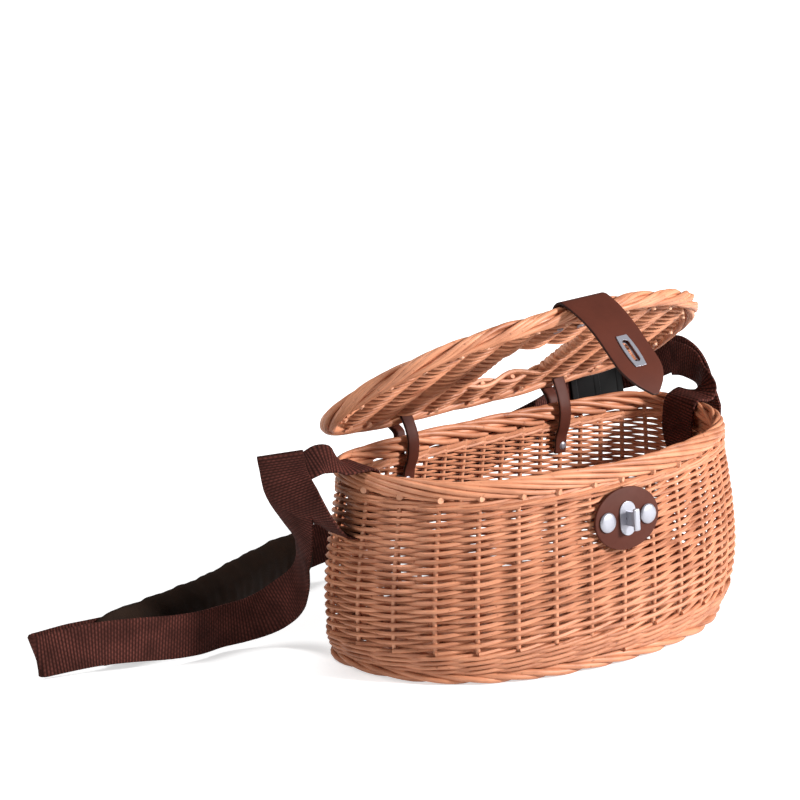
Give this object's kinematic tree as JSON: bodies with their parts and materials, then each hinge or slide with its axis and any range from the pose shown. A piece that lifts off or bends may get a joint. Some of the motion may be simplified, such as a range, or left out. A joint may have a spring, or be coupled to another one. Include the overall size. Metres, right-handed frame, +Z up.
{
  "type": "wicker fishing creel",
  "caption": "Woven willow shoulder basket with a slotted hinged lid, leather tongue and turn lock, leather hinge loops and a padded webbing strap.",
  "frame": {"origin": "middle of the flat underside of the base, where the basket stands", "axes": "+X along the basket's long side, -Y to the front with the turn lock, +Y to the hinge side, +Z up; the lid stands open as in the picture"},
  "size_m": [0.6351, 0.382, 0.307],
  "materials": {
    "willow": "peeled buff willow rods, dry sheen, pinkish highlights and dark gaps",
    "willow_pale": "split willow and cut rod ends, slightly lighter",
    "willow_dark": "waling rods in shade, darker brown",
    "leather": "smooth reddish brown leather with darker cut edges",
    "nickel": "nickel plate, softly polished",
    "webbing": "ribbed woven webbing, dark reddish brown",
    "pad_cloth": "soft matt padded cloth, dark olive brown",
    "black_plastic": "moulded black plastic"
  },
  "bodies": {
    "basket": {"base_panel": "willow", "base_sticks": "willow_pale", "foot_ring": "willow_dark", "side_wall": "willow", "side_stakes": "willow_pale", "top_wale": "willow_dark", "rim_border": "willow", "hinge_strap_left": "leather", "hinge_strap_right": "leather", "hinge_rivet_left": "nickel", "hinge_rivet_right": "nickel", "hinge_washer_left": "nickel", "hinge_washer_right": "nickel", "clasp_patch": "leather", "lock_plate": "nickel", "clasp_cap_left": "nickel", "clasp_cap_right": "nickel", "clasp_washer_left": "nickel", "clasp_washer_right": "nickel", "strap_left_loop": "webbing", "strap_main_run": "webbing", "shoulder_pad": "pad_cloth", "strap_rear_run": "webbing", "strap_buckle": "black_plastic", "strap_right_loop": "webbing"},
    "knob": {"turn_knob": "nickel"},
    "lid": {"lid_border": "willow", "lid_weave_left": "willow", "lid_weave_right": "willow", "lid_weave_front": "willow", "lid_weave_rear": "willow", "slot_stick_left": "willow_dark", "slot_stick_right": "willow_dark", "skein_binding_1": "willow_pale", "skein_binding_2": "willow_pale", "skein_binding_3": "willow_pale", "tongue_tab": "leather", "tongue_rivet_left": "nickel", "tongue_rivet_right": "nickel", "tongue_washer_left": "nickel", "tongue_washer_right": "nickel"},
    "tongue_upper": {"tongue_flap": "leather"},
    "tongue_lower": {"tongue_end": "leather", "slot_plate_front": "nickel", "slot_plate_back": "nickel"}
  },
  "joints": [
    {"name": "lid_hinge", "type": "hinge", "parent": "basket", "child": "lid", "pos_m": [0, 0.084, 0.171], "axis": [-0.9986, -0.0523, 0], "range_deg": [-36.4, 58], "deforming": ["hinge_strap_left", "hinge_strap_right"]},
    {"name": "tongue_swing", "type": "hinge", "parent": "lid", "child": "tongue_upper", "pos_m": [-0.00258, -0.0653, 0.30304], "axis": [0.9995, 0.0102, 0.0311], "range_deg": [-32, 22.8]},
    {"name": "tongue_bend", "type": "hinge", "parent": "tongue_upper", "child": "tongue_lower", "pos_m": [-0.00173, -0.09692, 0.28613], "axis": [0.9995, 0.0102, 0.0311], "range_deg": [-15.8, 22.1]},
    {"name": "knob_turn", "type": "hinge", "parent": "basket", "child": "knob", "pos_m": [0, -0.11173, 0.1273], "axis": [0, -0.9941, 0.1082], "range_deg": [0, 90]}
  ],
  "couplings": [
    {"joint": "tongue_bend", "follows": "tongue_swing", "ratio": -0.69}
  ]
}
